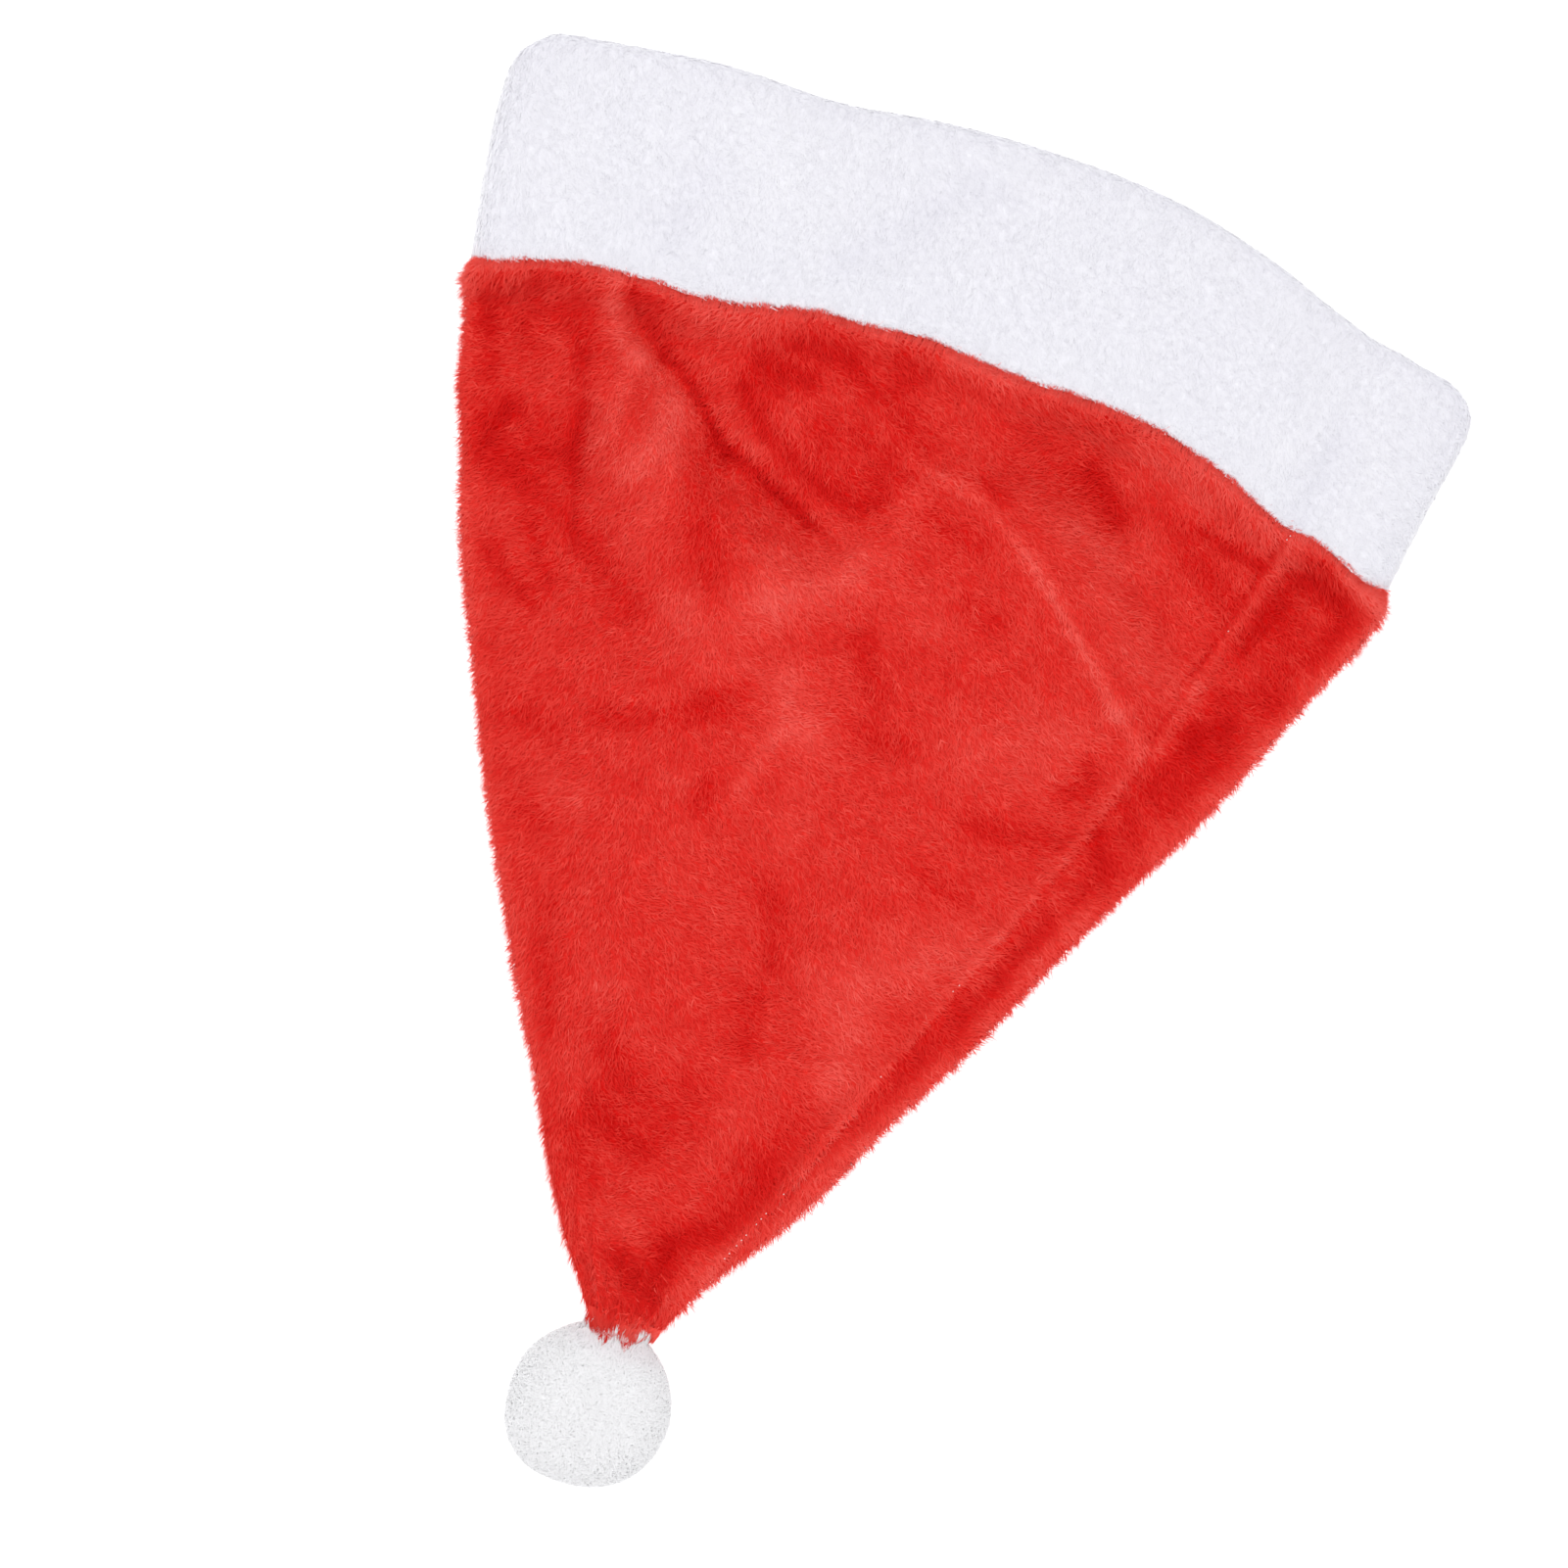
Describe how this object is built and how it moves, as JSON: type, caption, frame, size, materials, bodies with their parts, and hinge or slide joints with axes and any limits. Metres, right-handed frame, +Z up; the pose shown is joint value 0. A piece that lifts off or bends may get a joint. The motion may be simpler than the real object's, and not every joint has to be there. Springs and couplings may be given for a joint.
{
  "type": "santa hat",
  "caption": "Flat-lying plush cone hat with a doubled pale brim band, an open head hole and a pompom sewn to the gathered tip.",
  "frame": {"origin": "on the surface the hat lies on, under the middle of its box", "axes": "+Z up from the surface, +Y from the pompom towards the mouth of the band, +X to the right seen from above with the mouth at the top"},
  "size_m": [0.2983, 0.4058, 0.0422],
  "materials": {
    "crown_plush": "short red plush pile, soft sheen",
    "band_plush": "short dense white plush pile",
    "pompom_plush": "fluffy white pile"
  },
  "bodies": {
    "root": {"crown": "crown_plush", "band": "band_plush", "pompom": "pompom_plush"}
  },
  "joints": []
}
